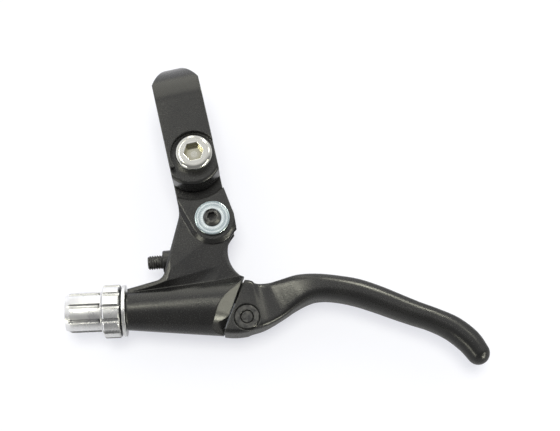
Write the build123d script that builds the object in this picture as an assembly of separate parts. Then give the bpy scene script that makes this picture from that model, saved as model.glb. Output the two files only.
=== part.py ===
from build123d import *
import math
import os

# Fits and gaps
FIT = 0.03
RUN = 0.06
SIDE_PLAY = 0.10
HUB_GAP = 0.45

# Handlebar band
BAR_D = 22.2
BAR_CLEAR = 0.05
BAND_WALL = 3.2
BAND_W = 13.6
NOSE_L = 6.9
NOSE_TRIM = 0.4
EAR_END_R = 8.6
SPLIT_Z = 3.8
SPLIT_GAP = 1.6
EAR_MARGIN = 8.3
EAR_EDGE = 1.0
EAR_ROOT = 1.5
SPOT_R = 6.7
SPOT_DEPTH = 2.5
SPOT_DROP = 2.8

# Clamp bolt
BOLT_X = 0.75
BOLT_D = 6.0
BOLT_SKIN = 1.7
BOLT_CLEAR = 0.25
BOLT_L = 18.0
BOLT_HEAD_D = 10.4
BOLT_HEAD_H = 4.2
BOLT_HEAD_EDGE = 1.3
BOLT_HEX = 5.0
BOLT_HEX_DEPTH = 2.8

# Neck, fork and web
PIVOT_X = 1.9
PIVOT_Y = -34.2
PLATE_Z = 7.6
WEB_Z = 6.4
WEB_EDGE = 0.6
BOSS_R = 6.3
FAR_BOSS_R = 5.3
BOSS_EDGE = 0.3
BOSS_SLOPE = 46.0
PAD_TOP_GAP = 3.5
PAD_SHOULDER = 8.0
NECK_FLARE = 4.0
FLARE_R = 9.0
TAPER_START = 13.0
TAPER_TILT = 14.0
FACET_X = -5.0
FACET_Y = -6.5
FACET_TURN = -62.9
FACET_TILT = 8.0
SCOOP_R = 9.1
FAR_SCOOP_R = 10.2
SCOOP_X = 11.2
SCOOP_Y = -11.2
RIM_Z = 3.8
RIM_SLOPE = 30.0
KNEE_S = 11.0
KNEE_RISE = 0.9
KNEE_R = 3.0

# Snout, a cone about the cable axis
SNOUT_X = -27.5
SNOUT_Y = -53.3
SNOUT_TURN = -10.4
SNOUT_R = 5.55
SNOUT_FLARE = 6.0
SNOUT_EDGE = 0.6
HOOD_L = 30.7
HOOD_TURN = 56.6
CREASE_Z = 3.3
CREASE_RISE = 0.065
VALLEY_SAG = 0.05
RIDGE_START = 0.45
RIDGE_GROWTH = 9.2
VALLEY_L = 34.0
VALLEY_STEPS = 5
HOLLOW_START = 14.0
THROAT_D = 4.6
THREAD_SPARE = 1.0
CABLE_SLOT = 2.0
BEVEL_UP = -4.7
BEVEL_Z = 4.95
BEVEL_RISE = 10.7
BEVEL_FALL = 45.0
BEVEL_CORNER = 6.0
BEVEL_SLOPE = 38.0
BEVEL_DEPTH = 5.0

# Lever arm and hub
ARM_Z = 2.9
EYE_R = 5.5
EYE_CLEAR = 0.6
ARM_CLEAR = 0.8
ARM_LEFT = 4.4
ARM_RIGHT = 1.7
ARM_BEND = 12.0
ARM_FOOT = 5.1
ARM_HEEL = 9.1
ARM_SINK = 3.0
ARM_FILLET = 4.0
FOOT_FILLET = 0.6
HUB_EAR_Z = 2.2
HUB_Z = 5.2
HUB_SQUARE = 11.0

# Hub stations from the anchor: across, up and half thickness
HUB_STATIONS = [
    (-8.41, 5.05, 6.25),
    (-5.31, 4.13, 7.28),
    (-2.31, 3.65, 7.65),
    (0.69, 3.38, 7.53),
]

# Blade stations from the anchor: across, up, half thickness, half height and squareness
BLADE_STATIONS = [
    (3.40, 2.88, 6.73, 4.95, 9.0),
    (6.09, 2.95, 6.05, 4.05, 8.0),
    (9.19, 3.39, 5.35, 3.85, 7.0),
    (12.69, 4.19, 4.70, 4.70, 6.0),
    (16.60, 4.84, 4.25, 5.70, 4.5),
    (20.89, 4.69, 3.70, 6.30, 3.4),
    (25.89, 3.39, 3.55, 6.35, 2.8),
    (31.89, 0.89, 3.70, 6.20, 2.5),
    (37.39, -2.41, 3.65, 6.00, 2.5),
    (42.39, -5.81, 3.50, 5.80, 2.5),
    (46.89, -8.81, 3.35, 5.65, 2.4),
    (51.49, -11.71, 3.25, 5.50, 2.4),
    (56.20, -15.41, 3.45, 5.40, 2.3),
    (59.79, -19.91, 3.50, 5.20, 2.2),
    (61.49, -23.71, 3.25, 4.80, 2.1),
]
TIP_DOME = 3.4
TIP_STEPS = 8
BLADE_STEPS = 4
SECTION_POINTS = 32

# Pivot stack
SLEEVE_D = 7.0
SLEEVE_FLANGE_D = 10.0
SLEEVE_FLANGE_T = 1.2
PIVOT_SCREW_D = 5.0
PIVOT_SCREW_PROUD = 1.4
PIVOT_SCREW_EDGE = 0.8
FLANGE_EDGE = 0.3
PIVOT_HEX = 2.5
PIVOT_HEX_DEPTH = 2.6
BUSH_WALL = 0.8
BUSH_FLANGE_D = 10.2
BUSH_FLANGE_T = 0.45
PIVOT_WASHER_D = 10.0
PIVOT_WASHER_T = 1.0
PIVOT_NUT_AF = 8.0
PIVOT_NUT_T = 4.0
NUT_CHAMFER = 0.5
SCREW_TAIL = 0.8

# Cable anchor
CABLE_ARM = 29.6
ANCHOR_BACK = 4.88
ANCHOR_SCREW_D = 4.0
ANCHOR_WELL_D = 7.6
ANCHOR_WELL_DEPTH = 1.5
ANCHOR_NUT_AF = 6.5
ANCHOR_NUT_T = 1.6
ANCHOR_HEAD_D = 7.2
ANCHOR_HEAD_H = 1.5
ANCHOR_HEAD_EDGE = 0.6
ANCHOR_HEX = 2.5
ANCHOR_HEX_DEPTH = 1.0
SPACER_WALL = 0.4
LINK_EYE_WALL = 0.6
LINK_L = 11.0
NIPPLE_DROP = 1.6
LINK_SWING = 14.0
LINK_CLEAR = 0.3
NIPPLE_D = 7.2
NIPPLE_WALL = 0.9
NIPPLE_SLOT = 2.0

# Reach screw
REACH_X = -4.75
REACH_Y = -9.1
REACH_TURN = 171.8
REACH_D = 4.0
REACH_L = 16.1
REACH_BOSS_D = 6.4
REACH_BOSS_L = 11.8
BOSS_PROUD = 1.0
REACH_HEX = 2.0
REACH_HEX_DEPTH = 2.5
REACH_EDGE = 0.4

# Barrel adjuster and lock ring
BARREL_THREAD_D = 8.0
BARREL_SHANK_L = 9.5
BARREL_D = 11.4
BARREL_L = 10.4
BARREL_NOSE = 1.6
BARREL_GAP = 0.3
BARREL_FLUTES = 8
BARREL_TURN = 7.0
HOUSING_D = 5.2
HOUSING_DEPTH = 8.5
WIRE_D = 2.4
RING_D = 15.2
RING_L = 4.9
RING_FLUTES = 12
RING_TURN = -1.0
RING_FLANGE_D = 14.6
RING_FLANGE_T = 0.9
RING_NECK_D = 12.4
RING_NECK_L = 0.6
FLUTE_D = 1.7
FLUTE_DEPTH = 0.45
RING_EDGE = 0.4

# Worked out from the values above
HALF_W = BAND_W / 2
BORE_R = BAR_D / 2 + BAR_CLEAR
BAND_R = BORE_R + BAND_WALL
NOSE_TOP = BAND_R - NOSE_TRIM
BOLT_Y = -(BORE_R + BOLT_SKIN + BOLT_D / 2 + BOLT_CLEAR)
SEAT_Z = BAND_R - SPOT_DEPTH
EAR_END = BOLT_Y - EAR_MARGIN
EAR_Z = SPLIT_Z + SPLIT_GAP / 2
JAW_Z = SPLIT_Z - SPLIT_GAP / 2
PIVOT = Vector(PIVOT_X, PIVOT_Y, 0)
SCOOP = PIVOT + Vector(SCOOP_X, SCOOP_Y, 0)
SLOT_Z = ARM_Z + BUSH_FLANGE_T + SIDE_PLAY
REACH = 2 * (BAND_R + abs(PIVOT_Y))


def turned(angle):
    """Plan direction at an angle from +X."""
    return Vector(math.cos(math.radians(angle)), math.sin(math.radians(angle)), 0)


CABLE_DIR = turned(SNOUT_TURN)
CABLE_NORMAL = turned(SNOUT_TURN + 90)
SNOUT = Vector(SNOUT_X, SNOUT_Y, 0)
HOOD_END = SNOUT + CABLE_DIR * HOOD_L
HOOD_UP = turned(HOOD_TURN)
HOOD_OUT = turned(HOOD_TURN - 90)
REACH_TIP = PIVOT + Vector(REACH_X, REACH_Y, 0)
SNOUT_PLANE = Plane(origin=SNOUT, x_dir=(0, 0, 1), z_dir=-CABLE_DIR)
REACH_PLANE = Plane(origin=REACH_TIP, x_dir=(0, 0, 1), z_dir=turned(REACH_TURN))
HOOD_PLANE = Plane(origin=HOOD_END, x_dir=HOOD_UP, z_dir=HOOD_OUT)
SLEEVE_R = SLEEVE_D / 2
BUSH_R = SLEEVE_R + RUN + BUSH_WALL
FLANGE_TOP = PLATE_Z + SLEEVE_FLANGE_T
SPACER_R = ANCHOR_SCREW_D / 2 + FIT + SPACER_WALL
LINK_EYE_R = SPACER_R + RUN + LINK_EYE_WALL
SEAT_R = NIPPLE_D / 2 + NIPPLE_WALL
RING_TOP = RING_FLANGE_T + RING_NECK_L + RING_L
STANDING = (Align.CENTER, Align.CENTER, Align.MIN)
HANGING = (Align.CENTER, Align.CENTER, Align.MAX)


def along(s, n=0.0):
    """Point at a distance along the cable axis and beside it."""
    return SNOUT + CABLE_DIR * s + CABLE_NORMAL * n


def anchor_point():
    """Anchor at the cable arm's length from the pivot, set back from the end of the hood."""
    start = HOOD_END + HOOD_OUT * ANCHOR_BACK - PIVOT
    level = start.dot(HOOD_UP)
    drop = math.sqrt(CABLE_ARM ** 2 - start.length ** 2 + level ** 2)
    return PIVOT + start - HOOD_UP * (level + drop)


def nipple_point():
    """Seat of the cable's end on the link, a little below the cable axis."""
    away = ANCHOR - SNOUT
    rise = -NIPPLE_DROP - away.dot(CABLE_NORMAL)
    return along(away.dot(CABLE_DIR) - math.sqrt(LINK_L ** 2 - rise ** 2), -NIPPLE_DROP)


ANCHOR = anchor_point()
NIPPLE = nipple_point()
LINK_TURN = math.degrees(math.atan2(NIPPLE.Y - ANCHOR.Y, NIPPLE.X - ANCHOR.X))


def snout_radius(s):
    """Radius of the snout at a distance from its end."""
    return SNOUT_R + s * math.tan(math.radians(SNOUT_FLARE))


def prism(face, low, high):
    """Plan face drawn out between two heights."""
    return extrude(Pos(0, 0, low) * face, amount=high - low)


def post(centre, radius, low, high):
    """Upright cylinder between two heights."""
    return prism(Pos(centre.X, centre.Y) * Circle(radius), low, high)


def hexagon(across_flats):
    """Hexagon of a nut or a socket."""
    return RegularPolygon(across_flats / 2, 6, major_radius=False)


def band_plan():
    """Plan of the band, drawn in to a rounded nose at its back."""
    shoulder = NOSE_TOP - NOSE_L
    sides = Polyline((-HALF_W, shoulder), (-HALF_W, -BAND_R), (HALF_W, -BAND_R), (HALF_W, shoulder))
    nose = Bezier((HALF_W, shoulder), (0, NOSE_TOP + NOSE_L), (-HALF_W, shoulder))
    return make_face([*sides.edges(), *nose.edges()])


def ear_plan():
    """Plan of the ear with its rounded end."""
    shoulder = EAR_END + EAR_END_R - math.sqrt(EAR_END_R ** 2 - HALF_W ** 2)
    sides = Polyline((-HALF_W, shoulder), (-HALF_W, 0), (HALF_W, 0), (HALF_W, shoulder))
    end = ThreePointArc((HALF_W, shoulder), (0, EAR_END), (-HALF_W, shoulder))
    return make_face([*sides.edges(), *end.edges()])


def clamp_band():
    """Split band round the bar with its ear and the jaw below it."""
    ring = extrude(Plane.YZ * Circle(BAND_R), amount=HALF_W, both=True)
    ring &= prism(band_plan(), -BAND_R, BAND_R)
    ear = prism(ear_plan(), EAR_Z, BAND_R)
    jaw_end = PIVOT_Y + NECK_FLARE
    jaw_side = Polygon((0, -BAND_R), (PIVOT_Y + BOSS_R, -PLATE_Z), (jaw_end, -PLATE_Z), (jaw_end, JAW_Z),
                       (0, JAW_Z), align=None)
    jaw = extrude(Plane.YZ * jaw_side, amount=HALF_W, both=True)
    ledge = Pos(BOLT_X, BOLT_Y - SPOT_DROP) * Rectangle(REACH, REACH, align=(Align.CENTER, Align.MAX))
    ear -= prism(Pos(BOLT_X, BOLT_Y) * Circle(SPOT_R) + ledge, SEAT_Z, BAND_R)
    ear = fillet(ear.faces().sort_by(Axis.Y)[0].edges().sort_by(Axis.Z)[-1], EAR_EDGE)
    gap = Pos(0, -BORE_R, SPLIT_Z) * Box(BAND_W, 2 * BAND_WALL, SPLIT_GAP)
    bore = extrude(Plane.YZ * Circle(BORE_R), amount=BAND_W, both=True)
    return ring + ear + jaw - gap - bore


def web_plan(boss_r, scoop_r):
    """Outline of the neck and the web down to the cable axis."""
    flare = Vector(-HALF_W, PIVOT_Y + NECK_FLARE, 0)
    boss_foot = REACH_TIP + turned(REACH_TURN) * (REACH_BOSS_L - BOSS_PROUD) - CABLE_NORMAL * REACH_BOSS_D / 2
    knee = along(KNEE_S, snout_radius(KNEE_S) + KNEE_RISE)
    snout_top = along(SNOUT_EDGE, snout_radius(SNOUT_EDGE))
    left = FilletPolyline((-HALF_W, EAR_END), flare, boss_foot, knee, snout_top,
                          radius=[FLARE_R, FLARE_R, KNEE_R])
    hood_top = HOOD_END + HOOD_UP * snout_radius(HOOD_L)
    shoulder = PIVOT + Vector(boss_r, 0, 0)
    right = Polyline(snout_top, along(SNOUT_EDGE), HOOD_END, hood_top, shoulder, (HALF_W, EAR_END),
                     (-HALF_W, EAR_END))
    outline = make_face([*left.edges(), *right.edges()])
    outline += Pos(PIVOT_X, PIVOT_Y) * Circle(boss_r)
    return outline - Pos(SCOOP.X, SCOOP.Y) * Circle(scoop_r)


def valley_cutter():
    """Space above the hollow face that falls from the ridge to the snout."""
    sections = []
    for step in range(VALLEY_STEPS + 1):
        s = step * VALLEY_L / VALLEY_STEPS
        floor = CREASE_Z + CREASE_RISE * s
        crease = math.sqrt(snout_radius(s) ** 2 - floor ** 2)
        run = RIDGE_START * math.exp(s / RIDGE_GROWTH)
        rise = WEB_Z - floor
        middle = (crease + run / 2 + VALLEY_SAG * rise, floor + rise / 2 - VALLEY_SAG * run)
        face = ThreePointArc((crease, floor), middle, (crease + run, WEB_Z))
        rest = Polyline((crease + run, WEB_Z), (crease + run, BAND_R), (-SNOUT_R, BAND_R), (-SNOUT_R, floor),
                        (crease, floor))
        plane = Plane(origin=along(s), x_dir=CABLE_NORMAL, z_dir=CABLE_DIR)
        sections.append(plane * make_face([*face.edges(), *rest.edges()]))
    return loft(sections)


def scoop_rim(scoop_r):
    """Sloping rim of the scoop beside the hood."""
    height = BAND_R - RIM_Z
    rim = Cone(scoop_r, scoop_r + height * math.tan(math.radians(RIM_SLOPE)), height, align=STANDING)
    return Pos(SCOOP.X, SCOOP.Y, RIM_Z) * rim


def web():
    """Web between neck and snout with its facets."""
    body = prism(web_plan(BOSS_R, SCOOP_R), 0, WEB_Z)
    body += prism(web_plan(FAR_BOSS_R, FAR_SCOOP_R), -WEB_Z, 0)
    rims = [edge for face in body.faces().filter_by(Axis.Z) for edge in face.edges()]
    body = chamfer([edge for edge in rims if edge.center().X < PIVOT_X - BOSS_R], WEB_EDGE)
    valley = valley_cutter()
    body -= valley + scoop_rim(SCOOP_R)
    body -= mirror(valley + scoop_rim(FAR_SCOOP_R), Plane.XY)
    thinning = turned(SNOUT_TURN + 180) * math.sin(math.radians(TAPER_TILT))
    upright = Vector(0, 0, math.cos(math.radians(TAPER_TILT)))
    for side in (1, -1):
        start = along(TAPER_START) + Vector(0, 0, side * WEB_Z)
        body = split(body, bisect_by=Plane(origin=start, z_dir=thinning + upright * side), keep=Keep.BOTTOM)
    slope = turned(FACET_TURN) * math.sin(math.radians(FACET_TILT))
    facet = Plane(origin=PIVOT + Vector(FACET_X, FACET_Y, WEB_Z),
                  z_dir=slope + Vector(0, 0, math.cos(math.radians(FACET_TILT))))
    return split(body, bisect_by=facet, keep=Keep.BOTTOM)


def boss_pad(boss_r, scoop_r):
    """Raised pad with sloping sides round the pivot and up the neck."""
    circle = Pos(PIVOT_X, PIVOT_Y) * Circle(boss_r - BOSS_EDGE)
    shoulder = Line((-HALF_W, PIVOT_Y + PAD_SHOULDER), (HALF_W, PIVOT_Y + PAD_SHOULDER))
    pad_face = make_hull([*circle.edges(), shoulder])
    pad = extrude(Pos(0, 0, PLATE_Z) * pad_face, amount=PLATE_Z - WEB_Z, dir=(0, 0, -1), taper=-BOSS_SLOPE)
    outline = web_plan(boss_r, scoop_r) + Rectangle(BAND_W, 2 * abs(PIVOT_Y + NECK_FLARE))
    return (pad & prism(outline, WEB_Z, PLATE_Z)) + prism(pad_face, 0, WEB_Z)


def arm_plan():
    """Outline of the lever arm from the eye to the hub."""
    level = ANCHOR - HOOD_OUT * ANCHOR_BACK
    foot = level + HOOD_UP * ARM_FOOT + HOOD_OUT * ARM_SINK
    heel = level + HOOD_UP * ARM_HEEL + HOOD_OUT * ARM_SINK
    instep = level + HOOD_UP * ARM_HEEL
    left = PIVOT - Vector(ARM_LEFT, 0, 0)
    right = PIVOT + Vector(ARM_RIGHT, 0, 0)
    bend = Vector(0, ARM_BEND, 0)
    sides = FilletPolyline(left, left - bend, foot, heel, instep, right - bend, right,
                           radius=[ARM_FILLET, FOOT_FILLET, FOOT_FILLET, FOOT_FILLET, ARM_FILLET])
    return make_face([*sides.edges(), *Line(right, left).edges()]) + Pos(PIVOT_X, PIVOT_Y) * Circle(EYE_R)


def link_room():
    """Space that the anchor link needs between the ears of the hub."""
    circles = [Pos(ANCHOR.X, ANCHOR.Y) * Circle(LINK_EYE_R + LINK_CLEAR)]
    for swing in (-LINK_SWING, 0):
        seat = ANCHOR + turned(LINK_TURN + swing) * LINK_L
        circles.append(Pos(seat.X, seat.Y) * Circle(SEAT_R + LINK_CLEAR))
    return make_hull([edge for circle in circles for edge in circle.edges()])


def hood_space():
    """Slot for the arm and the hollow of the hood, between the cheeks."""
    wall = Vector(ARM_LEFT + ARM_CLEAR, 0, 0)
    low = along(HOOD_L + HUB_Z, -THROAT_D / 2)
    far = Vector(REACH, 0, 0)
    throat = Vector(CABLE_NORMAL) * (THROAT_D / 2)
    inner = along(HOLLOW_START)
    space = Polygon(PIVOT - wall, PIVOT - wall - Vector(0, ARM_BEND, 0), inner + throat, inner - throat, low,
                    low + far, PIVOT + far, align=None)
    space += Pos(PIVOT_X, PIVOT_Y) * Circle(EYE_R + EYE_CLEAR)
    space += Pos(NIPPLE.X, NIPPLE.Y) * Circle(SEAT_R + LINK_CLEAR)
    room_z = HUB_EAR_Z + LINK_CLEAR
    return prism(space, -SLOT_Z, SLOT_Z) + prism(link_room(), -room_z, room_z)


def hood_bevel():
    """Bevel on the near rim of the hood, broad below and running out above."""
    toe = -2 * BAND_R
    head_z = BEVEL_Z + (REACH - BEVEL_UP) * math.tan(math.radians(BEVEL_RISE))
    toe_z = BEVEL_Z + (toe - BEVEL_UP) * math.tan(math.radians(BEVEL_FALL))
    corner = (BEVEL_UP, BEVEL_Z)
    rim = Polygon((toe, -REACH), (REACH, -REACH), (REACH, head_z), corner, (toe, toe_z), align=None)
    rim = fillet(rim.vertices().sort_by_distance(corner)[0], BEVEL_CORNER)
    core = extrude(HOOD_PLANE * rim, amount=BEVEL_DEPTH, dir=-HOOD_OUT, taper=-BEVEL_SLOPE)
    return HOOD_PLANE * Box(2 * BAND_R, 2 * BAND_R, BEVEL_DEPTH, align=HANGING) - core


def perch_body():
    """Whole perch: band, neck, fork, hood and snout, with its holes."""
    body = web() + boss_pad(BOSS_R, SCOOP_R) + mirror(boss_pad(FAR_BOSS_R, FAR_SCOOP_R), Plane.XY)
    ear_room = Cylinder(EAR_END_R + PAD_TOP_GAP, BAND_R, align=STANDING)
    ear_room = fillet(ear_room.edges().sort_by(Axis.Z)[0], EAR_ROOT)
    body -= Pos(0, EAR_END + EAR_END_R, JAW_Z) * ear_room
    body += clamp_band()
    cone_l = HOOD_L + 2 * SNOUT_R
    cone = Cone(SNOUT_R, snout_radius(cone_l), cone_l, align=STANDING)
    cone = fillet(cone.edges().sort_by(Axis.Z)[0], SNOUT_EDGE)
    cone = Plane(origin=SNOUT, x_dir=(0, 0, 1), z_dir=CABLE_DIR) * cone
    body += cone - post(SCOOP, SCOOP_R, -BAND_R, BAND_R)
    boss = Cylinder(REACH_BOSS_D / 2, REACH_BOSS_L, align=STANDING)
    body += REACH_PLANE * fillet(boss.edges().sort_by(Axis.Z)[-1], REACH_EDGE)
    body = split(body, bisect_by=HOOD_PLANE, keep=Keep.BOTTOM)
    body -= hood_bevel()
    body -= hood_space()
    tapped = SNOUT_PLANE * Cylinder(BARREL_THREAD_D / 2 + RUN, 2 * (BARREL_SHANK_L + THREAD_SPARE))
    throat = SNOUT_PLANE * Cylinder(THROAT_D / 2, 2 * (HOLLOW_START + THREAD_SPARE))
    body -= tapped + throat
    slit_l = 2 * (HOLLOW_START + THREAD_SPARE)
    slit = Box(BAND_R, CABLE_SLOT, slit_l, align=(Align.MAX, Align.CENTER, Align.CENTER))
    body -= SNOUT_PLANE * slit
    body -= post(PIVOT, SLEEVE_R + FIT, 0, BAND_R)
    body -= post(PIVOT, PIVOT_SCREW_D / 2 + FIT, -BAND_R, 0)
    bolt = Vector(BOLT_X, BOLT_Y, 0)
    body -= post(bolt, BOLT_D / 2 + BOLT_CLEAR, SPLIT_Z, BAND_R)
    body -= post(bolt, BOLT_D / 2 + FIT, SEAT_Z - BOLT_L - THREAD_SPARE, SPLIT_Z)
    return body - REACH_PLANE * Cylinder(REACH_D / 2 + RUN, REACH)


def clamp_bolt():
    """Socket-head bolt that closes the band."""
    head = Cylinder(BOLT_HEAD_D / 2, BOLT_HEAD_H, align=STANDING)
    head = fillet(head.edges().sort_by(Axis.Z)[-1], BOLT_HEAD_EDGE)
    head -= Pos(0, 0, BOLT_HEAD_H - BOLT_HEX_DEPTH) * extrude(hexagon(BOLT_HEX), amount=BOLT_HEAD_H)
    shank = Cylinder(BOLT_D / 2, BOLT_L, align=HANGING)
    shank = chamfer(shank.edges().sort_by(Axis.Z)[0], NUT_CHAMFER)
    return Pos(BOLT_X, BOLT_Y, SEAT_Z) * (head + shank)


def nut(across_flats, thread_d, thickness):
    """Hexagon nut standing on the plan plane."""
    body = extrude(hexagon(across_flats), amount=thickness)
    turned_blank = Cylinder(across_flats / math.sqrt(3), thickness, align=STANDING)
    body &= chamfer(turned_blank.edges().filter_by(GeomType.CIRCLE), NUT_CHAMFER)
    return body - Cylinder(thread_d / 2 + FIT, REACH)


def socket_screw(diameter, low, high, socket, depth, edge):
    """Headless screw with a hex socket in its upper end."""
    screw = Pos(0, 0, low) * Cylinder(diameter / 2, high - low, align=STANDING)
    screw = chamfer(screw.edges().filter_by(GeomType.CIRCLE), edge)
    return screw - Pos(0, 0, high - depth) * extrude(hexagon(socket), amount=2 * depth)


def at_pivot(shape):
    """Shape moved to the pivot axis."""
    return Pos(PIVOT_X, PIVOT_Y) * shape


def pivot_sleeve():
    """Flanged sleeve that the lever turns on."""
    tube = Pos(0, 0, -SLOT_Z) * Cylinder(SLEEVE_R, PLATE_Z + SLOT_Z, align=STANDING)
    flange = Cylinder(SLEEVE_FLANGE_D / 2, SLEEVE_FLANGE_T, align=STANDING)
    flange = fillet(flange.edges().sort_by(Axis.Z)[-1], FLANGE_EDGE)
    return at_pivot(tube + Pos(0, 0, PLATE_Z) * flange - Cylinder(PIVOT_SCREW_D / 2 + FIT, REACH))


def pivot_screw():
    """Screw through the sleeve, driven from the flange side."""
    low = -PLATE_Z - PIVOT_WASHER_T - PIVOT_NUT_T - SCREW_TAIL
    high = FLANGE_TOP + PIVOT_SCREW_PROUD
    return at_pivot(socket_screw(PIVOT_SCREW_D, low, high, PIVOT_HEX, PIVOT_HEX_DEPTH, PIVOT_SCREW_EDGE))


def pivot_washer():
    """Washer below the far cheek."""
    washer = Circle(PIVOT_WASHER_D / 2) - Circle(PIVOT_SCREW_D / 2 + FIT)
    return at_pivot(prism(washer, -PLATE_Z - PIVOT_WASHER_T, -PLATE_Z))


def pivot_nut():
    """Nut that locks the pivot screw."""
    seat = -PLATE_Z - PIVOT_WASHER_T
    return at_pivot(Pos(0, 0, seat - PIVOT_NUT_T) * nut(PIVOT_NUT_AF, PIVOT_SCREW_D, PIVOT_NUT_T))


def bush(side):
    """Flanged bush in one face of the lever's eye."""
    flange = Pos(0, 0, ARM_Z) * Cylinder(BUSH_FLANGE_D / 2, BUSH_FLANGE_T, align=STANDING)
    tube = Pos(0, 0, BUSH_FLANGE_T) * Cylinder(BUSH_R, ARM_Z - BUSH_FLANGE_T, align=STANDING)
    piece = tube + flange - Cylinder(SLEEVE_R + RUN, REACH)
    return at_pivot(piece if side > 0 else mirror(piece, Plane.XY))


def upper_bush():
    """Bush in the face towards the sleeve's flange."""
    return bush(1)


def lower_bush():
    """Bush in the far face."""
    return bush(-1)


def blade_section(centre, heading, half_thick, half_high, squareness):
    """Rounded section of the blade across its run."""
    points = []
    for step in range(SECTION_POINTS):
        angle = 2 * math.pi * step / SECTION_POINTS
        across = math.cos(angle)
        up = math.sin(angle)
        reach = (abs(across) ** squareness + abs(up) ** squareness) ** (-1 / squareness)
        points.append((half_thick * reach * across, half_high * reach * up))
    plane = Plane(origin=centre, x_dir=turned(heading + 90), z_dir=turned(heading))
    return plane * make_face(Spline(points, periodic=True).edges())


def between(rows, i, part):
    """Row on the smooth curve through the stations, a part of the way past station i."""
    last = len(rows) - 1
    before, here, there, after = (rows[min(max(k, 0), last)] for k in range(i - 1, i + 3))
    row = []
    for p0, p1, p2, p3 in zip(before, here, there, after):
        bend = 2 * p0 - 5 * p1 + 4 * p2 - p3
        turn = 3 * (p1 - p2) + p3 - p0
        row.append(p1 + part / 2 * (p2 - p0 + part * (bend + part * turn)))
    return row


def blade():
    """Hub and blade as one skin over close sections, with a rounded tip."""
    rows = [(*station, HUB_Z, HUB_SQUARE) for station in HUB_STATIONS] + BLADE_STATIONS
    fine = [between(rows, i, k / BLADE_STEPS) for i in range(len(rows) - 1) for k in range(BLADE_STEPS)]
    fine.append(rows[-1])
    centres = [ANCHOR + Vector(row[0], row[1], 0) for row in fine]
    sections = []
    for i, row in enumerate(fine):
        ahead = centres[min(i + 1, len(fine) - 1)] - centres[max(i - 1, 0)]
        heading = math.degrees(math.atan2(ahead.Y, ahead.X))
        sections.append(blade_section(centres[i], heading, *row[2:]))
    for step in range(1, TIP_STEPS):
        turn = math.radians(90 * step / TIP_STEPS)
        centre = centres[-1] + turned(heading) * (TIP_DOME * math.sin(turn))
        half_thick, half_high, squareness = rows[-1][2:]
        shrink = math.cos(turn)
        sections.append(blade_section(centre, heading, half_thick * shrink, half_high * shrink, squareness))
    return loft(sections, ruled=True)


def lever_blade():
    """Lever in one piece: eye, arm, hub and blade."""
    hub_face = Plane(origin=HOOD_END + HOOD_OUT * HUB_GAP, x_dir=HOOD_UP, z_dir=HOOD_OUT)
    body = split(blade(), bisect_by=hub_face, keep=Keep.TOP)
    body += prism(arm_plan(), -ARM_Z, ARM_Z)
    body -= prism(link_room(), -HUB_EAR_Z, HUB_EAR_Z)
    body -= post(ANCHOR, ANCHOR_SCREW_D / 2 + FIT, -REACH, REACH)
    floor = HUB_Z - ANCHOR_WELL_DEPTH
    body -= post(ANCHOR, ANCHOR_WELL_D / 2, floor, REACH)
    body -= post(ANCHOR, ANCHOR_WELL_D / 2, -REACH, -floor)
    return body - post(PIVOT, BUSH_R + FIT, -REACH, REACH)


def cable_anchor():
    """Hooked link that takes the end barrel of the cable."""
    eye = Pos(ANCHOR.X, ANCHOR.Y) * Circle(LINK_EYE_R)
    seat = Pos(NIPPLE.X, NIPPLE.Y) * Circle(SEAT_R)
    link = make_hull([*eye.edges(), *seat.edges()])
    link -= Pos(NIPPLE.X, NIPPLE.Y) * Circle(NIPPLE_D / 2)
    link -= Pos(ANCHOR.X, ANCHOR.Y) * Circle(SPACER_R + RUN)
    half = HUB_EAR_Z - SIDE_PLAY
    body = prism(link, -half, half)
    aim = Plane(origin=NIPPLE, x_dir=turned(LINK_TURN), z_dir=(0, 0, 1))
    wire = aim * Box(NIPPLE_D, 2 * NIPPLE_D, NIPPLE_SLOT, align=(Align.MIN, Align.CENTER, Align.CENTER))
    door = aim * Box(NIPPLE_D, NIPPLE_D, REACH, align=(Align.CENTER, Align.MIN, Align.CENTER))
    return body - wire - door


def anchor_spacer():
    """Tube between the ears that the link turns on."""
    tube = Circle(SPACER_R) - Circle(ANCHOR_SCREW_D / 2 + FIT)
    return prism(Pos(ANCHOR.X, ANCHOR.Y) * tube, -HUB_EAR_Z, HUB_EAR_Z)


def anchor_screw():
    """Screw through the ears of the hub."""
    seat = HUB_Z - ANCHOR_WELL_DEPTH
    head = Cylinder(ANCHOR_HEAD_D / 2, ANCHOR_HEAD_H, align=HANGING)
    head = fillet(head.edges().sort_by(Axis.Z)[0], ANCHOR_HEAD_EDGE)
    head -= Pos(0, 0, ANCHOR_HEX_DEPTH - ANCHOR_HEAD_H) * extrude(hexagon(ANCHOR_HEX), amount=-ANCHOR_HEAD_H)
    shank = Cylinder(ANCHOR_SCREW_D / 2, seat + HUB_Z, align=STANDING)
    shank = chamfer(shank.edges().sort_by(Axis.Z)[-1], NUT_CHAMFER)
    return Pos(ANCHOR.X, ANCHOR.Y, -seat) * (head + shank)


def anchor_nut():
    """Nut in the well of the hub."""
    seat = HUB_Z - ANCHOR_WELL_DEPTH
    return Pos(ANCHOR.X, ANCHOR.Y, seat) * nut(ANCHOR_NUT_AF, ANCHOR_SCREW_D, ANCHOR_NUT_T)


def reach_screw():
    """Set screw that moves the lever's rest position."""
    return REACH_PLANE * socket_screw(REACH_D, 0, REACH_L, REACH_HEX, REACH_HEX_DEPTH, REACH_EDGE)


def flutes(count, first, diameter, low, high):
    """Ring of round grooves for finger grip, the first at an angle from the upright."""
    groove = Cylinder(FLUTE_D / 2, high - low, align=STANDING)
    groove = Pos(diameter / 2 + FLUTE_D / 2 - FLUTE_DEPTH, 0, low) * groove
    return [Rot(0, 0, first + 360 / count * turn) * groove for turn in range(count)]


def wire_slit(low, high):
    """Slit that lets the cable be laid in from the far side."""
    return Pos(0, 0, low) * Box(BAND_R, CABLE_SLOT, high - low, align=(Align.MAX, Align.CENTER, Align.MIN))


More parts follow.
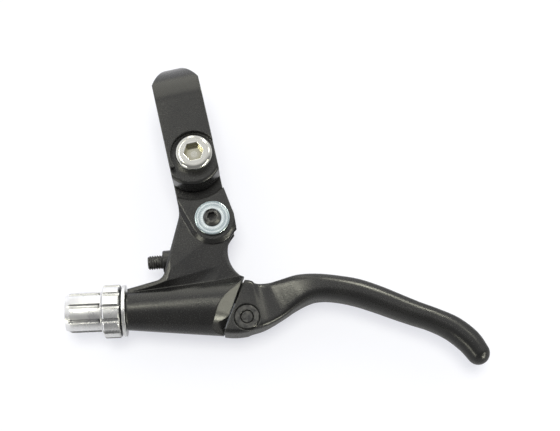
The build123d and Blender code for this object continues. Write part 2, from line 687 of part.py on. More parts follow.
def barrel_adjuster():
    """Screw barrel with a fluted head and the socket for the housing."""
    foot = RING_TOP + BARREL_GAP
    head = Cylinder(BARREL_D / 2, BARREL_L, align=STANDING)
    head = chamfer(head.edges().sort_by(Axis.Z)[-1], BARREL_NOSE, BARREL_NOSE / 2)
    head = fillet(head.edges().sort_by(Axis.Z)[0], RING_EDGE)
    head -= flutes(BARREL_FLUTES, BARREL_TURN, BARREL_D, RING_EDGE, BARREL_L)
    shank = Cylinder(BARREL_THREAD_D / 2, foot + BARREL_SHANK_L, align=HANGING)
    barrel = Pos(0, 0, foot) * (head + shank)
    end = foot + BARREL_L
    barrel -= Pos(0, 0, end - HOUSING_DEPTH) * Cylinder(HOUSING_D / 2, BARREL_L, align=STANDING)
    barrel -= Cylinder(WIRE_D / 2, REACH)
    return SNOUT_PLANE * (barrel - wire_slit(-REACH, REACH))


def lock_ring():
    """Fluted ring with a thin flange against the snout."""
    flange = Cylinder(RING_FLANGE_D / 2, RING_FLANGE_T, align=STANDING)
    neck = Pos(0, 0, RING_FLANGE_T) * Cylinder(RING_NECK_D / 2, RING_NECK_L, align=STANDING)
    grip = Pos(0, 0, RING_FLANGE_T + RING_NECK_L) * Cylinder(RING_D / 2, RING_L, align=STANDING)
    grip = chamfer(grip.edges().filter_by(GeomType.CIRCLE), RING_EDGE)
    grip -= flutes(RING_FLUTES, RING_TURN, RING_D, RING_FLANGE_T + RING_NECK_L, RING_TOP)
    ring = flange + neck + grip - Cylinder(BARREL_THREAD_D / 2 + RUN, REACH)
    return SNOUT_PLANE * (ring - wire_slit(0, RING_TOP))


PIECES = [perch_body, clamp_bolt, pivot_sleeve, pivot_screw, pivot_washer, pivot_nut, upper_bush, lower_bush,
          lever_blade, cable_anchor, anchor_spacer, anchor_screw, anchor_nut, reach_screw, barrel_adjuster,
          lock_ring]

os.makedirs("parts", exist_ok=True)
for piece in PIECES:
    export_step(piece(), f"parts/{piece.__name__}.step")
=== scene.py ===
"""Bicycle brake lever: coated, plated and turned finishes, cut threads and a pale studio."""

import logging
import math
from dataclasses import dataclass, field
from enum import Enum

import bpy
from mathutils import Matrix, Vector


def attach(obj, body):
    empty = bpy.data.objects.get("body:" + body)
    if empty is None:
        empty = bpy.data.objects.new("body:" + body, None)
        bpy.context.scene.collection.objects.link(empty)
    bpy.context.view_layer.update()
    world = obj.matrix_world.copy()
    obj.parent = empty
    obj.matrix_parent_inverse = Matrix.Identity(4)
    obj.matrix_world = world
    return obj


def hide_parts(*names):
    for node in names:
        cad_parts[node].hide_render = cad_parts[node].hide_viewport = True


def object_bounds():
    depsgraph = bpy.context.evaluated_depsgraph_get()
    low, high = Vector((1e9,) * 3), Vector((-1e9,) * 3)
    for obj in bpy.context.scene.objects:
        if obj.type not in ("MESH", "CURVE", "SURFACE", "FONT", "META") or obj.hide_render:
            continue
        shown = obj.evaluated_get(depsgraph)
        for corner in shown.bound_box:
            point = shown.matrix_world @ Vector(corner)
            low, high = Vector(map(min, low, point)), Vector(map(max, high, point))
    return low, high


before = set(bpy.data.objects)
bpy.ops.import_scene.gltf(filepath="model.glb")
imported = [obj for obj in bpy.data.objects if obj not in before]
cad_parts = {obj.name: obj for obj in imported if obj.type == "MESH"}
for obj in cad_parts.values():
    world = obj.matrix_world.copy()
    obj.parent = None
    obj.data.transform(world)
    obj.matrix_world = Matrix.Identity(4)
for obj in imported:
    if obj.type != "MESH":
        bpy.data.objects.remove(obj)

CAD_BOX: tuple[Vector, Vector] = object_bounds()
MM: float = 0.001
MERGE_DISTANCE: float = 0.001 * MM
SMOOTH_ANGLE: float = math.radians(30.0)
PROBES: int = 8
CLOUD_DETAIL: float = 4.0
GRAIN_DETAIL: float = 3.0
LINE_DETAIL: float = 2.0
Triple = tuple[float, float, float]
Colour = Triple
Span = tuple[float, float]
FULL: Span = (0.0, 1.0)
CRISP: Span = (0.35, 0.65)
SOFT: Span = (0.3, 0.7)

log = logging.getLogger("brake_lever")


class Slot(Enum):
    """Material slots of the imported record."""

    POLISHED_ALLOY = "polished_alloy"
    BLACK_STEEL = "black_steel"


class Body(Enum):
    """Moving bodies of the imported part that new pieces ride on."""

    REACH = "reach_adjuster"
    BARREL = "barrel"


@dataclass(frozen=True)
class Spindle:
    """Turning axis in the part's frame.

    Args:
        centre: A point on the axis, in metres.
        turn: Plan angle that the axis points along, in degrees from +X; None for an upright axis.
    """

    centre: Triple
    turn: float | None = None

    def direction(self) -> Vector:
        """Find where the axis points.

        Returns:
            The unit vector along it.
        """
        if self.turn is None:
            return Vector((0.0, 0.0, 1.0))
        return Vector((math.cos(math.radians(self.turn)), math.sin(math.radians(self.turn)), 0.0))

    def matrix(self) -> Matrix:
        """Place the axis in the part's frame.

        Returns:
            The matrix whose Z axis is the spindle and whose origin is its centre.
        """
        placed = self.direction().to_track_quat("Z", "Y").to_matrix().to_4x4()
        placed.translation = Vector(self.centre)
        return placed


class ShaderSheet:
    """Node tree of one material, with short calls that add and join its nodes."""

    def __init__(self, name: str) -> None:
        """Start an empty material with its principled shader.

        Args:
            name: The material's name.
        """
        self.material: bpy.types.Material = bpy.data.materials.new(name)
        self.material.use_nodes = True
        self.tree: bpy.types.NodeTree = self.material.node_tree
        self.shader: bpy.types.Node = self.tree.nodes["Principled BSDF"]

    def add(self, kind: str, **settings: object) -> bpy.types.Node:
        """Add a node.

        Args:
            kind: The node's type name.
            settings: Properties to set on it.

        Returns:
            The new node.
        """
        node = self.tree.nodes.new(kind)
        for key, value in settings.items():
            setattr(node, key, value)
        return node

    def join(self, source: bpy.types.NodeSocket, target: bpy.types.NodeSocket) -> None:
        """Link an output socket to an input socket."""
        self.tree.links.new(source, target)

    def plain(self, **sockets: object) -> None:
        """Set sockets of the shader that are the same all over, named with underscores."""
        for key, value in sockets.items():
            self.shader.inputs[key.replace("_", " ")].default_value = value

    def feed(self, socket: str, source: bpy.types.NodeSocket) -> None:
        """Link a pattern to one of the shader's sockets."""
        self.join(source, self.shader.inputs[socket])

    def place(self, spindle: Spindle | None = None) -> bpy.types.NodeSocket:
        """Give the surface's own coordinates in metres.

        Args:
            spindle: Axis to centre and turn them on, so that Z runs along it.

        Returns:
            The vector socket.
        """
        coordinates = self.add("ShaderNodeTexCoord").outputs["Object"]
        if spindle is None:
            return coordinates
        mapping = self.add("ShaderNodeMapping", vector_type="TEXTURE")
        mapping.inputs["Location"].default_value = spindle.centre
        mapping.inputs["Rotation"].default_value = spindle.matrix().to_euler()
        self.join(coordinates, mapping.inputs["Vector"])
        return mapping.outputs["Vector"]

    def noise(self, vector: bpy.types.NodeSocket, grain: float, detail: float) -> bpy.types.NodeSocket:
        """Add cloudy noise.

        Args:
            vector: Coordinates in metres.
            grain: Size of one patch, in metres.
            detail: Octaves of finer noise in it.

        Returns:
            The value socket, about 0 to 1.
        """
        node = self.add("ShaderNodeTexNoise")
        node.inputs["Scale"].default_value = 1.0 / grain
        node.inputs["Detail"].default_value = detail
        self.join(vector, node.inputs["Vector"])
        return node.outputs["Fac"]

    def stretch(self, vector: bpy.types.NodeSocket, scale: Triple) -> bpy.types.NodeSocket:
        """Scale coordinates axis by axis, so that a pattern on them is drawn out.

        Args:
            vector: Coordinates in metres.
            scale: What each axis is multiplied by.

        Returns:
            The scaled vector socket.
        """
        node = self.add("ShaderNodeVectorMath", operation="MULTIPLY")
        node.inputs[1].default_value = scale
        self.join(vector, node.inputs[0])
        return node.outputs["Vector"]

    def spread(
        self, value: bpy.types.NodeSocket, source: Span, target: Span = FULL
    ) -> bpy.types.NodeSocket:
        """Map a value from one range to another, held at the ends.

        Args:
            value: The value socket.
            source: Range that it is read over.
            target: Range that it is given.

        Returns:
            The mapped value socket.
        """
        node = self.add("ShaderNodeMapRange", interpolation_type="SMOOTHSTEP")
        for socket, number in zip(("From Min", "From Max", "To Min", "To Max"), (*source, *target)):
            node.inputs[socket].default_value = number
        self.join(value, node.inputs["Value"])
        return node.outputs["Result"]

    def tint(
        self,
        share: bpy.types.NodeSocket,
        low: Colour | bpy.types.NodeSocket,
        high: Colour | bpy.types.NodeSocket,
    ) -> bpy.types.NodeSocket:
        """Mix two colours.

        Args:
            share: Value socket that goes from the first to the second.
            low: Colour, or colour socket, at 0.
            high: Colour, or colour socket, at 1.

        Returns:
            The colour socket.
        """
        node = self.add("ShaderNodeMix", data_type="RGBA")
        ends = [socket for socket in node.inputs if socket.type == "RGBA"]
        for end, colour in zip(ends, (low, high)):
            if isinstance(colour, bpy.types.NodeSocket):
                self.join(colour, end)
            else:
                end.default_value = (*colour, 1.0)
        self.join(share, node.inputs["Factor"])
        return next(socket for socket in node.outputs if socket.type == "RGBA")

    def relief(
        self, height: bpy.types.NodeSocket, depth: float, under: bpy.types.NodeSocket | None = None
    ) -> bpy.types.NodeSocket:
        """Turn a height pattern into a bumped normal.

        Args:
            height: The height socket, 0 to 1.
            depth: What a height of 1 stands for, in metres.
            under: Normal that it lies on.

        Returns:
            The normal socket.
        """
        node = self.add("ShaderNodeBump")
        node.inputs["Distance"].default_value = depth
        self.join(height, node.inputs["Height"])
        if under is not None:
            self.join(under, node.inputs["Normal"])
        return node.outputs["Normal"]

    def eased(self, radius: float) -> bpy.types.NodeSocket:
        """Ease the edges over in the shading.

        Args:
            radius: How far the easing reaches, in metres.

        Returns:
            The normal socket.
        """
        node = self.add("ShaderNodeBevel", samples=PROBES)
        node.inputs["Radius"].default_value = radius
        return node.outputs["Normal"]

    def edge_wear_and_highlight(self, eased: bpy.types.NodeSocket, worn_and_highlit_span: Span = (0.80, 0.985)) -> bpy.types.NodeSocket:
        """Give how much paler the edges are painted, from 0 on open faces to 1 on the edges: partly worn
        coat, partly a painted edge highlight.

        Args:
            eased: Normal of the eased edges.
            worn_and_highlit_span: Likeness of that normal to the face's own at which the edge is fully
                pale, and at which it is not pale at all.

        Returns:
            The share socket.
        """
        surface = self.add("ShaderNodeNewGeometry").outputs["Normal"]
        node = self.add("ShaderNodeVectorMath", operation="DOT_PRODUCT")
        self.join(eased, node.inputs[0])
        self.join(surface, node.inputs[1])
        return self.spread(node.outputs["Value"], worn_and_highlit_span, FULL[::-1])

    def unshaded_share(self, reach: float, span: Span) -> bpy.types.NodeSocket:
        """Give the share left unshaded by ambient occlusion, from 0 in a hollow, where shade is painted
        in, to 1 on open faces.

        Args:
            reach: How far a wall still shelters a point, in metres.
            span: Open share of the view at which a point takes the full painted shade, and at which it
                takes none.

        Returns:
            The share socket.
        """
        node = self.add("ShaderNodeAmbientOcclusion", samples=PROBES, only_local=True)
        node.inputs["Distance"].default_value = reach
        return self.spread(node.outputs["AO"], span)


@dataclass(frozen=True)
class SatinCoat:
    """Satin black coat over cast and forged alloy.

    Args:
        name: The material's name.
        deep: Colour of the coat where it is thick.
        thin: Colour where it is thin.
        worn_and_highlit_edge: Colour of the edges: partly worn coat, partly a painted edge highlight.
        gloss: Roughness from the smoothest to the dullest patch.
        edge: Radius that edges are eased over, in metres.
        patch: Size of one thick or thin patch, in metres.
        peel: Grain of the coat's fine orange peel, in metres.
        peel_depth: Depth of that peel, in metres.
    """

    name: str
    deep: Colour = (0.011, 0.011, 0.0114)
    thin: Colour = (0.017, 0.0168, 0.0164)
    worn_and_highlit_edge: Colour = (0.070, 0.070, 0.068)
    gloss: Span = (0.21, 0.29)
    edge: float = 0.45 * MM
    patch: float = 9.0 * MM
    peel: float = 0.28 * MM
    peel_depth: float = 0.0026 * MM

    def material(self) -> bpy.types.Material:
        """Mix the coat.

        Returns:
            Its material.
        """
        sheet = ShaderSheet(self.name)
        place = sheet.place()
        cloud = sheet.noise(place, self.patch, CLOUD_DETAIL)
        coat = sheet.tint(sheet.spread(cloud, CRISP), self.deep, self.thin)
        eased = sheet.eased(self.edge)
        # Edges painted paler: partly worn coat, partly a painted highlight.
        sheet.feed("Base Color", sheet.tint(sheet.edge_wear_and_highlight(eased), coat, self.worn_and_highlit_edge))
        grain = sheet.noise(place, self.peel, GRAIN_DETAIL)
        sheet.feed("Roughness", sheet.spread(grain, SOFT, self.gloss))
        sheet.feed("Normal", sheet.relief(grain, self.peel_depth, eased))
        return sheet.material


@dataclass(frozen=True)
class BrightMetal:
    """Bright metal that was turned on a spindle: chrome, zinc plate or uncoated alloy.

    Args:
        name: The material's name.
        spindle: Axis that it was turned on.
        bright: Colour of the polished crests.
        dull: Colour of the duller lines.
        oil_and_painted_shade: Colour painted into its hollows by ambient occlusion: painted shade, which
            on the chrome bolt is also tinted as oil.
        gloss: Roughness from the brightest to the dullest patch.
        painted_shade_reach: How far a wall shelters a hollow, in metres.
        painted_shade_span: Open share of the view at which the hollow takes the full painted shade, and
            at which it takes none.
        edge: Radius that edges are eased over, in metres.
        line: Width of one turning line, in metres.
        line_depth: Depth of the turning lines, in metres.
        patch: Size of one dull patch, in metres.
        patch_span: Range of the patches' noise that goes from the brightest to the dullest.
    """

    name: str
    spindle: Spindle
    bright: Colour
    dull: Colour
    oil_and_painted_shade: Colour
    gloss: Span
    painted_shade_reach: float = 1.2 * MM
    painted_shade_span: Span = (0.45, 0.95)
    edge: float = 0.15 * MM
    line: float = 0.12 * MM
    line_depth: float = 0.0015 * MM
    patch: float = 3.0 * MM
    patch_span: Span = (0.3, 0.75)

    def material(self) -> bpy.types.Material:
        """Mix the metal, with lines that run round its spindle.

        Returns:
            Its material.
        """
        sheet = ShaderSheet(self.name)
        sheet.plain(Metallic=1.0)
        place = sheet.place(self.spindle)
        cloud = sheet.noise(place, self.patch, CLOUD_DETAIL)
        sheet.feed("Roughness", sheet.spread(cloud, self.patch_span, self.gloss))
        parts = sheet.add("ShaderNodeSeparateXYZ")
        sheet.join(place, parts.inputs["Vector"])
        radius = sheet.add("ShaderNodeVectorMath", operation="LENGTH")
        sheet.join(sheet.stretch(place, (1.0, 1.0, 0.0)), radius.inputs[0])
        rings = sheet.add("ShaderNodeCombineXYZ")
        sheet.join(radius.outputs["Value"], rings.inputs["X"])
        sheet.join(parts.outputs["Z"], rings.inputs["Z"])
        lines = sheet.noise(rings.outputs["Vector"], self.line, LINE_DETAIL)
        clean = sheet.tint(sheet.spread(lines, CRISP), self.bright, self.dull)
        # Hollows are painted darker by ambient occlusion: painted shade.
        lit_share = sheet.unshaded_share(self.painted_shade_reach, self.painted_shade_span)
        sheet.feed("Base Color", sheet.tint(lit_share, self.oil_and_painted_shade, clean))
        sheet.feed("Normal", sheet.relief(lines, self.line_depth, sheet.eased(self.edge)))
        return sheet.material


@dataclass(frozen=True)
class DarkSteel:
    """Black oxide steel of the small screws and nuts.

    Args:
        name: The material's name.
        deep: Colour of the oxide.
        thin: Colour where the oxide is thin.
        worn_and_highlit_edge: Colour of the edges: partly worn oxide, partly a painted edge highlight.
        gloss: Roughness from oiled to dry patches.
        edge: Radius that edges are eased over, in metres.
        patch: Size of one patch, in metres.
        patch_span: Range of the patches' noise that goes from the oxide to where it is thin.
        metallic: How far the steel shows through, from 0 to 1.
    """

    name: str
    deep: Colour = (0.040, 0.040, 0.040)
    thin: Colour = (0.085, 0.084, 0.081)
    worn_and_highlit_edge: Colour = (0.26, 0.26, 0.25)
    gloss: Span = (0.24, 0.40)
    edge: float = 0.16 * MM
    patch: float = 1.2 * MM
    patch_span: Span = (0.35, 0.7)
    metallic: float = 0.6

    def material(self) -> bpy.types.Material:
        """Mix the oxide.

        Returns:
            Its material.
        """
        sheet = ShaderSheet(self.name)
        sheet.plain(Metallic=self.metallic)
        cloud = sheet.noise(sheet.place(), self.patch, CLOUD_DETAIL)
        oxide = sheet.tint(sheet.spread(cloud, self.patch_span), self.deep, self.thin)
        eased = sheet.eased(self.edge)
        # Edges painted paler: partly worn oxide, partly a painted highlight.
        sheet.feed("Base Color", sheet.tint(sheet.edge_wear_and_highlight(eased), oxide, self.worn_and_highlit_edge))
        sheet.feed("Roughness", sheet.spread(cloud, SOFT, self.gloss))
        sheet.feed("Normal", eased)
        return sheet.material


@dataclass(frozen=True)
class BearingNylon:
    """Dull black bearing plastic of the bushes.

    Args:
        name: The material's name.
        deep: Colour of the plastic.
        pale: Colour of its paler flecks.
        gloss: Roughness range.
        fleck: Size of one fleck, in metres.
        fleck_depth: Depth of the moulded grain, in metres.
    """

    name: str
    deep: Colour = (0.018, 0.018, 0.018)
    pale: Colour = (0.032, 0.032, 0.031)
    gloss: Span = (0.45, 0.6)
    fleck: float = 0.2 * MM
    fleck_depth: float = 0.004 * MM

    def material(self) -> bpy.types.Material:
        """Mix the plastic.

        Returns:
            Its material.
        """
        sheet = ShaderSheet(self.name)
        grain = sheet.noise(sheet.place(), self.fleck, GRAIN_DETAIL)
        sheet.feed("Base Color", sheet.tint(sheet.spread(grain, SOFT), self.deep, self.pale))
        sheet.feed("Roughness", sheet.spread(grain, SOFT, self.gloss))
        sheet.feed("Normal", sheet.relief(grain, self.fleck_depth))
        return sheet.material


Finish = SatinCoat | BrightMetal | DarkSteel | BearingNylon


def dress(name: str, finish: Finish) -> None:
    """Give a node of the frame its finish.

    Args:
        name: The node's name.
        finish: What it is coated or plated with.
    """
    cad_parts[name].material_slots[0].material = finish.material()
    log.info("%s: %s", name, finish.name)


def activate(piece: bpy.types.Object) -> None:
    """Make a piece the only one that is selected, and the active one.

    Args:
        piece: The object to work on.
    """
    bpy.ops.object.select_all(action="DESELECT")
    piece.select_set(True)
    bpy.context.view_layer.objects.active = piece


@dataclass(frozen=True)
class Thread:
    """Cut thread on a shank that the frame carries plain.

    Args:
        node: The node that carries the plain shank.
        piece: Name of the threaded piece that stands for it.
        body: The body that it rides on.
        slot: The record's slot for its finish; not used.
        spindle: The shank's axis.
        radius: Outer radius, in metres.
        pitch: Rise of one turn, in metres.
        start: Where the groove starts along the axis, in metres.
        end: Where it ends.
        steps: Straight steps in one turn.
        share: Depth of the groove, as a share of the pitch.
        wedge: Radius of the triangle that cuts it, as a share of the pitch.
    """

    node: str
    piece: str
    body: Body
    slot: Slot
    spindle: Spindle
    radius: float
    pitch: float
    start: float
    end: float
    steps: int = 32
    share: float = 0.55
    wedge: float = 0.56

    def stock(self) -> bpy.types.Object:
        """Copy the plain node and merge its loose triangles.

        Returns:
            The copy.
        """
        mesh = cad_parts[self.node].data.copy()
        blank = bpy.data.objects.new(self.piece, mesh)
        bpy.context.scene.collection.objects.link(blank)
        activate(blank)
        bpy.ops.mesh.customdata_custom_splitnormals_clear()
        bpy.ops.object.mode_set(mode="EDIT")
        bpy.ops.mesh.select_all(action="SELECT")
        bpy.ops.mesh.remove_doubles(threshold=MERGE_DISTANCE)
        bpy.ops.object.mode_set(mode="OBJECT")
        return blank

    def groove(self) -> bpy.types.Object:
        """Sweep a triangle round the axis, to cut the groove with.

        Returns:
            The helical wedge.
        """
        depth = self.pitch * self.share
        wedge = self.pitch * self.wedge
        middle = self.radius - depth + wedge
        bpy.ops.object.select_all(action="DESELECT")
        bpy.ops.mesh.primitive_circle_add(
            vertices=3,
            radius=wedge,
            location=(middle, 0.0, self.start),
            rotation=(math.pi / 2, -math.pi / 2, 0.0),
        )
        cutter = bpy.context.object
        bpy.ops.object.transform_apply(location=True, rotation=True, scale=True)
        sweep = cutter.modifiers.new("sweep", "SCREW")
        sweep.screw_offset = self.pitch
        sweep.iterations = math.ceil((self.end - self.start) / self.pitch)
        sweep.steps = self.steps
        sweep.render_steps = self.steps
        bpy.ops.object.modifier_apply(modifier=sweep.name)
        bpy.ops.object.mode_set(mode="EDIT")
        bpy.ops.mesh.select_all(action="SELECT")
        bpy.ops.mesh.fill_holes(sides=3)
        bpy.ops.mesh.normals_make_consistent(inside=False)
        bpy.ops.object.mode_set(mode="OBJECT")
        cutter.matrix_world = self.spindle.matrix()
        return cutter

    def build(self, finish: Finish) -> bpy.types.Object:
        """Cut the groove and let the threaded piece stand for the plain node.

        Args:
            finish: What the piece is coated or plated with.

        Returns:
            The threaded piece.
        """
        blank = self.stock()
        cutter = self.groove()
        activate(blank)
        cut = blank.modifiers.new("cut", "BOOLEAN")
        cut.operation = "DIFFERENCE"
        cut.solver = "EXACT"
        cut.object = cutter
        bpy.ops.object.modifier_apply(modifier=cut.name)
        bpy.data.objects.remove(cutter)
        bpy.ops.object.shade_smooth_by_angle(angle=SMOOTH_ANGLE)
        blank.data.materials.clear()
        blank.data.materials.append(finish.material())
        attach(blank, self.body.value)
        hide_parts(self.node)
        log.info("%s: cut over %d faces", self.piece, len(blank.data.polygons))
        return blank


@dataclass
class Perch:
    """Clamp band, neck, web, hood and snout in one casting, with the clamp bolt."""

    bolt: Spindle = field(default_factory=lambda: Spindle((0.75 * MM, -16.1 * MM, 0.0)))

    def dress(self) -> None:
        """Coat the casting and plate the bolt."""
        dress("perch_body", SatinCoat("perch_coat"))
        chrome = BrightMetal(
            "bolt_chrome",
            self.bolt,
            bright=(0.76, 0.76, 0.72),
            dull=(0.60, 0.59, 0.54),
            # Yellow-grey in the socket: painted shade in the hollow, tinted as oil.
            oil_and_painted_shade=(0.40, 0.38, 0.27),
            gloss=(0.06, 0.14),
            painted_shade_reach=3.0 * MM,
        )
        dress("clamp_bolt", chrome)


@dataclass
class Pivot:
    """Sleeve, screw, washer, nut and bushes that the lever turns on."""

    spindle: Spindle = field(default_factory=lambda: Spindle((1.9 * MM, -34.2 * MM, 0.0)))

    def dress(self) -> None:
        """Plate and blacken the stack."""
        zinc = BrightMetal(
            "pivot_zinc",
            self.spindle,
            # Wide bright and dark rings: partly turning lines, partly painted ring shading of the dished
            # washer.
            bright=(0.74, 0.80, 0.81),
            dull=(0.21, 0.28, 0.31),
            # Darker in the hollows: painted shade.
            oil_and_painted_shade=(0.22, 0.23, 0.23),
            gloss=(0.12, 0.24),
            line=0.9 * MM,
            line_depth=0.05 * MM,
        )
        for name in ("pivot_sleeve", "pivot_washer"):
            dress(name, zinc)
        for name in ("pivot_screw", "pivot_nut"):
            dress(name, DarkSteel(f"{name}_oxide"))
        for name in ("upper_bush", "lower_bush"):
            dress(name, BearingNylon(f"{name}_nylon"))


@dataclass
class Lever:
    """Blade with its hub, and the cable anchor between the hub's ears."""

    anchor: Spindle = field(default_factory=lambda: Spindle((5.409 * MM, -63.591 * MM, 0.0)))

    def dress(self) -> None:
        """Coat the blade, plate the link and blacken its screw."""
        dress("lever_blade", SatinCoat("blade_coat", gloss=(0.24, 0.32)))
        zinc = BrightMetal(
            "link_zinc",
            self.anchor,
            bright=(0.78, 0.81, 0.84),
            dull=(0.62, 0.66, 0.72),
            # Darker in the hollows: painted shade.
            oil_and_painted_shade=(0.20, 0.21, 0.22),
            gloss=(0.25, 0.40),
        )
        for name in ("cable_anchor", "anchor_spacer"):
            dress(name, zinc)
        for name in ("anchor_screw", "anchor_nut"):
            dress(name, DarkSteel(f"{name}_oxide"))


@dataclass
class ReachAdjuster:
    """Set screw that the lever rests against."""

    spindle: Spindle = field(default_factory=lambda: Spindle((-2.85 * MM, -43.3 * MM, 0.0), 171.8))
    length: float = 16.1 * MM
    radius: float = 2.0 * MM
    pitch: float = 0.7 * MM

    def build(self) -> None:
        """Cut the screw's thread and blacken it."""
        thread = Thread(
            node="reach_screw",
            piece="reach_screw_threaded",
            body=Body.REACH,
            slot=Slot.BLACK_STEEL,
            spindle=self.spindle,
            radius=self.radius,
            pitch=self.pitch,
            start=-self.pitch,
            end=self.length + self.pitch,
        )
        thread.build(DarkSteel("reach_screw_oxide"))


@dataclass
class BarrelAdjuster:
    """Fluted barrel and lock ring at the end of the snout."""

    spindle: Spindle = field(default_factory=lambda: Spindle((-27.5 * MM, -53.3 * MM, 0.0), 169.6))
    shank_end: float = -9.5 * MM
    thread_end: float = 4.4 * MM
    radius: float = 4.0 * MM
    pitch: float = 1.0 * MM

    def metal(self, name: str) -> BrightMetal:
        """Choose the bright turned alloy for one piece.

        Args:
            name: The material's name.

        Returns:
            The finish.
        """
        return BrightMetal(
            name,
            self.spindle,
            bright=(0.93, 0.93, 0.93),
            dull=(0.86, 0.86, 0.87),
            # Near black in the flutes: painted shade.
            oil_and_painted_shade=(0.06, 0.06, 0.062),
            gloss=(0.24, 0.36),
            painted_shade_reach=1.6 * MM,
            painted_shade_span=(0.76, 0.97),
        )

    def build(self) -> None:
        """Cut the shank's thread and brighten both pieces."""
        dress("lock_ring", self.metal("ring_alloy"))
        thread = Thread(
            node="barrel_adjuster",
            piece="barrel_adjuster_threaded",
            body=Body.BARREL,
            slot=Slot.POLISHED_ALLOY,
            spindle=self.spindle,
            radius=self.radius,
            pitch=self.pitch,
            start=self.shank_end - self.pitch,
            end=self.thread_end,
        )
        thread.build(self.metal("barrel_alloy"))


@dataclass(frozen=True)
class Softbox:
    """Flat lamp aimed at the lever.

    Args:
        name: The lamp's name.
        azimuth: Plan angle that it stands at, in degrees from +X.
        elevation: Height above the floor's plane, in degrees.
        distance: How far away it stands, in metres.
        width: Its width, in metres.
        height: Its height, in metres.
        radiance: How bright its face is, where 1 is white.
        colour: Colour of its light.
        fills: Whether it lights matt surfaces, instead of glinting in glossy ones.
    """

    name: str
    azimuth: float
    elevation: float
    distance: float
    width: float
    height: float
    radiance: float
    colour: Colour = (1.0, 0.99, 0.82)
    fills: bool = False

    def build(self, target: Vector) -> bpy.types.Object:
        """Hang the lamp.

        Args:
            target: The point that it is aimed at.

        Returns:
            The lamp's object.
        """
        lamp = bpy.data.lights.new(self.name, "AREA")
        lamp.shape = "RECTANGLE"
        lamp.size = self.width
        lamp.size_y = self.height
        lamp.color = self.colour
        lamp.energy = self.radiance * math.pi * self.width * self.height
        holder = bpy.data.objects.new(self.name, lamp)
        bpy.context.scene.collection.objects.link(holder)
        turn, rise = math.radians(self.azimuth), math.radians(self.elevation)
        away = Vector((math.cos(turn) * math.cos(rise), math.sin(turn) * math.cos(rise), math.sin(rise)))
        holder.location = target + away * self.distance
        holder.visible_glossy = not self.fills
        holder.visible_diffuse = self.fills
        holder.rotation_mode = "QUATERNION"
        holder.rotation_quaternion = away.to_track_quat("Z", "Y")
        return holder


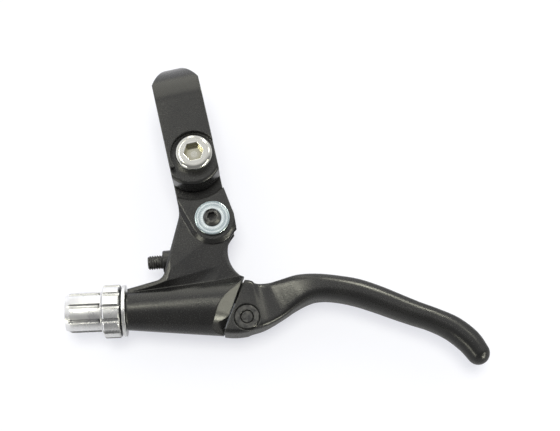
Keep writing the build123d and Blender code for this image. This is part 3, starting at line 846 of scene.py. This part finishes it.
@dataclass
class Studio:
    """Pale table, soft lamps and the camera above them."""

    target: Vector = field(default_factory=lambda: Vector((21.306 * MM, -35.638 * MM, 0.0)))
    distance: float = 0.42
    lens: float = 93.15
    sensor: float = 36.0
    tilt: float = 15.0
    turn: float = 12.9
    clip_start: float = 0.01
    floor_side: float = 6.0
    floor_colour: Colour = (0.40, 0.402, 0.414)
    floor_mottle: float = 1.02
    floor_patch: float = 0.2
    floor_roughness: float = 0.9
    floor_specular: float = 0.1
    floor_glow: Colour = (0.93, 0.94, 1.0)
    lift: float = 0.61
    glow: Span = (0.0, 0.75)
    glow_side: Triple = (-0.6, 0.8, 0.0)
    glow_span: Span = (-0.09, 0.06)
    sky_front: float = 0.25
    sky_back: float = 0.88
    sky_turn: Span = (-0.45, 0.25)
    lamps: tuple[Softbox, ...] = (
        Softbox("top_strip", 112.0, 64.0, 1.2, 0.26, 0.12, 4.5),
        Softbox("back_panel", 90.0, 26.0, 0.9, 0.18, 0.74, 1.7),
        Softbox("overhead", 0.0, 90.0, 4.0, 1.2, 1.2, 21.0, (1.0, 0.99, 0.90), fills=True),
        Softbox("back_right_box", 55.0, 39.0, 0.9, 0.13, 0.34, 22.0),
        Softbox("back_left_box", 153.0, 64.0, 0.9, 0.22, 0.18, 13.0),
        Softbox("right_top_box", 22.0, 47.0, 0.9, 0.20, 0.20, 4.0),
        Softbox("right_panel", -39.0, 17.0, 0.9, 0.34, 0.24, 7.0),
        Softbox("right_box", -60.0, 3.0, 0.9, 0.26, 0.12, 30.0),
        Softbox("left_panel", 214.0, 12.0, 0.9, 0.30, 0.22, 5.0),
    )

    def camera(self) -> None:
        """Stand the camera at the photograph's angle."""
        tilt, turn = math.radians(self.tilt), math.radians(self.turn)
        right = Vector((math.cos(turn), -math.sin(turn), 0.0))
        level = Vector((math.sin(turn), math.cos(turn), 0.0))
        upright = Vector((0.0, 0.0, 1.0))
        top = level * math.cos(tilt) + upright * math.sin(tilt)
        back = upright * math.cos(tilt) - level * math.sin(tilt)
        data = bpy.data.cameras.new("camera")
        data.lens = self.lens
        data.sensor_width = self.sensor
        data.clip_start = self.clip_start
        holder = bpy.data.objects.new("camera", data)
        bpy.context.scene.collection.objects.link(holder)
        placed = Matrix((right, top, back)).transposed().to_4x4()
        placed.translation = self.target + back * self.distance
        holder.matrix_world = placed
        bpy.context.scene.camera = holder

    def floor(self) -> None:
        """Lay the pale table under the clamp band."""
        bpy.ops.object.select_all(action="DESELECT")
        bpy.ops.mesh.primitive_plane_add(size=self.floor_side, location=(0.0, 0.0, CAD_BOX[0].z))
        table = bpy.context.object
        table.name = "table"
        sheet = ShaderSheet("table_paper")
        sheet.plain(Roughness=self.floor_roughness, Specular_IOR_Level=self.floor_specular)
        place = sheet.place()
        grain = sheet.noise(place, self.floor_patch, LINE_DETAIL)
        pale = tuple(channel * self.floor_mottle for channel in self.floor_colour)
        sheet.feed("Base Color", sheet.tint(grain, self.floor_colour, pale))
        path = sheet.add("ShaderNodeLightPath")
        seen = sheet.add("ShaderNodeMath", operation="MAXIMUM")
        sheet.join(path.outputs["Is Camera Ray"], seen.inputs[0])
        sheet.join(path.outputs["Is Transmission Ray"], seen.inputs[1])
        side = sheet.add("ShaderNodeVectorMath", operation="DOT_PRODUCT")
        sheet.join(place, side.inputs[0])
        side.inputs[1].default_value = self.glow_side
        # Glossy rays see the table glow, none on the front right and full on the back left: a painted
        # reflection, lit behind and shaded in front.
        mirrored = sheet.add("ShaderNodeMath", operation="MULTIPLY")
        sheet.join(path.outputs["Is Glossy Ray"], mirrored.inputs[0])
        sheet.join(sheet.spread(side.outputs["Value"], self.glow_span, self.glow), mirrored.inputs[1])
        lifted = sheet.add("ShaderNodeMath", operation="MULTIPLY_ADD")
        sheet.join(seen.outputs["Value"], lifted.inputs[0])
        lifted.inputs[1].default_value = self.lift
        sheet.join(mirrored.outputs["Value"], lifted.inputs[2])
        sheet.plain(Emission_Color=(*self.floor_glow, 1.0))
        sheet.feed("Emission Strength", lifted.outputs["Value"])
        table.data.materials.append(sheet.material)

    def sky(self) -> None:
        """Surround the table with white that is dim on the camera's side."""
        world = bpy.data.worlds.new("studio")
        bpy.context.scene.world = world
        world.use_nodes = True
        nodes, links = world.node_tree.nodes, world.node_tree.links
        background = nodes["Background"]
        background.inputs["Color"].default_value = (1.0, 1.0, 1.0, 1.0)
        coordinates = nodes.new("ShaderNodeTexCoord")
        parts = nodes.new("ShaderNodeSeparateXYZ")
        links.new(coordinates.outputs["Generated"], parts.inputs["Vector"])
        rise = nodes.new("ShaderNodeMapRange")
        rise.interpolation_type = "SMOOTHSTEP"
        for socket, number in zip(
            ("From Min", "From Max", "To Min", "To Max"), (*self.sky_turn, self.sky_front, self.sky_back)
        ):
            rise.inputs[socket].default_value = number
        links.new(parts.outputs["Y"], rise.inputs["Value"])
        path = nodes.new("ShaderNodeLightPath")
        mix = nodes.new("ShaderNodeMix")
        links.new(path.outputs["Is Camera Ray"], mix.inputs["Factor"])
        links.new(rise.outputs["Result"], mix.inputs["A"])
        mix.inputs["B"].default_value = 1.0
        links.new(mix.outputs["Result"], background.inputs["Strength"])

    def build(self) -> None:
        """Set up the table, lamps, sky and camera."""
        scene = bpy.context.scene
        scene.view_settings.view_transform = "Standard"
        self.floor()
        self.sky()
        for lamp in self.lamps:
            lamp.build(self.target)
        self.camera()


def main() -> None:
    """Dress the lever from the clamp to the blade and set it in its studio."""
    logging.basicConfig(level=logging.INFO, format="%(name)s %(message)s")
    Perch().dress()
    Pivot().dress()
    Lever().dress()
    ReachAdjuster().build()
    BarrelAdjuster().build()
    Studio().build()


if __name__ == "__main__":
    main()
